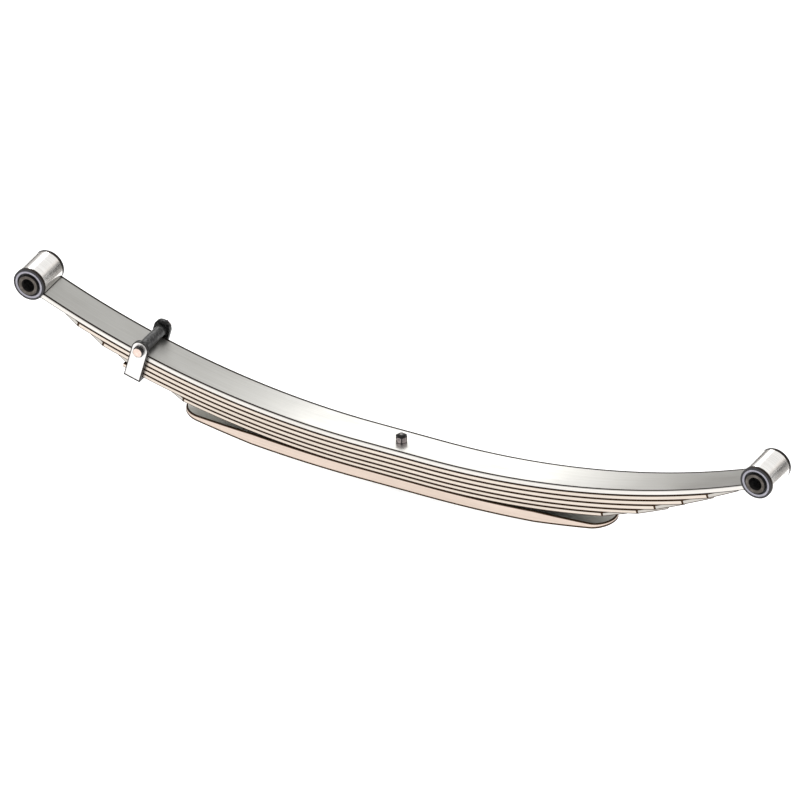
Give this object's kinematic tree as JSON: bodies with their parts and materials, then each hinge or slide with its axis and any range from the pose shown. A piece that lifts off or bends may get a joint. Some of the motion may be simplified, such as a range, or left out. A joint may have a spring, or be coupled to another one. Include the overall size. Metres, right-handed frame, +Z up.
{
  "type": "truck leaf spring",
  "caption": "Semi-elliptic multi-leaf truck spring with in-line rolled eyes, flanged bushings, a rebound clip, a centre bolt and a thick overload leaf.",
  "frame": {"origin": "where the centre bolt's axis crosses the flat underside of the overload leaf, the face that sits on the axle", "axes": "+X along the spring from its front end towards its rear end (the rebound clip is on the front half, at -X), +Y across the leaves towards the far side, which is the side of the clip bolt's nut, +Z up, towards the eyes"},
  "size_m": [1.3412, 0.0986, 0.2292],
  "materials": {
    "leaf_steel": "bright satin",
    "overload_steel": "satin",
    "strap_steel": "satin",
    "bolt_steel": "satin",
    "nut_steel": "dark satin",
    "tube_steel": "dull",
    "sleeve_steel": "dull",
    "bush_rubber": "matte"
  },
  "bodies": {
    "clamped_pack": {"main_leaf": "leaf_steel", "second_leaf": "leaf_steel", "third_leaf": "leaf_steel", "fourth_leaf": "leaf_steel", "fifth_leaf": "leaf_steel", "sixth_leaf": "leaf_steel", "overload_leaf": "overload_steel", "centre_bolt": "bolt_steel", "centre_bolt_nut": "nut_steel"},
    "front_arm": {"front_bushing_near": "bush_rubber", "front_bushing_far": "bush_rubber", "clip_strap": "strap_steel", "clip_rivet": "strap_steel", "clip_bolt": "bolt_steel", "clip_nut": "nut_steel", "clip_spacer_tube": "tube_steel"},
    "rear_arm": {"rear_bushing_near": "bush_rubber", "rear_bushing_far": "bush_rubber"},
    "front_sleeve": {"front_inner_sleeve": "sleeve_steel"},
    "rear_sleeve": {"rear_inner_sleeve": "sleeve_steel"}
  },
  "joints": [
    {"name": "front_arm_flex", "type": "hinge", "parent": "clamped_pack", "child": "front_arm", "pos_m": [-0.22, 0, 0.06], "axis": [0, -1, 0], "range_deg": [-2.5, 5.8], "stiffness_Nm_per_rad": 4600, "deforming": ["main_leaf", "second_leaf", "third_leaf", "fourth_leaf", "fifth_leaf", "sixth_leaf"]},
    {"name": "rear_arm_flex", "type": "hinge", "parent": "clamped_pack", "child": "rear_arm", "pos_m": [0.22, 0, 0.06], "axis": [0, 1, 0], "range_deg": [-2.5, 5.8], "stiffness_Nm_per_rad": 4600, "deforming": ["main_leaf", "second_leaf", "third_leaf", "fourth_leaf", "fifth_leaf", "sixth_leaf"]},
    {"name": "front_bushing_twist", "type": "hinge", "parent": "front_arm", "child": "front_sleeve", "pos_m": [-0.6435, 0, 0.19229], "axis": [0, 1, 0], "range_deg": [-20, 20], "stiffness_Nm_per_rad": 40},
    {"name": "rear_bushing_twist", "type": "hinge", "parent": "rear_arm", "child": "rear_sleeve", "pos_m": [0.6435, 0, 0.19229], "axis": [0, 1, 0], "range_deg": [-20, 20], "stiffness_Nm_per_rad": 40}
  ]
}
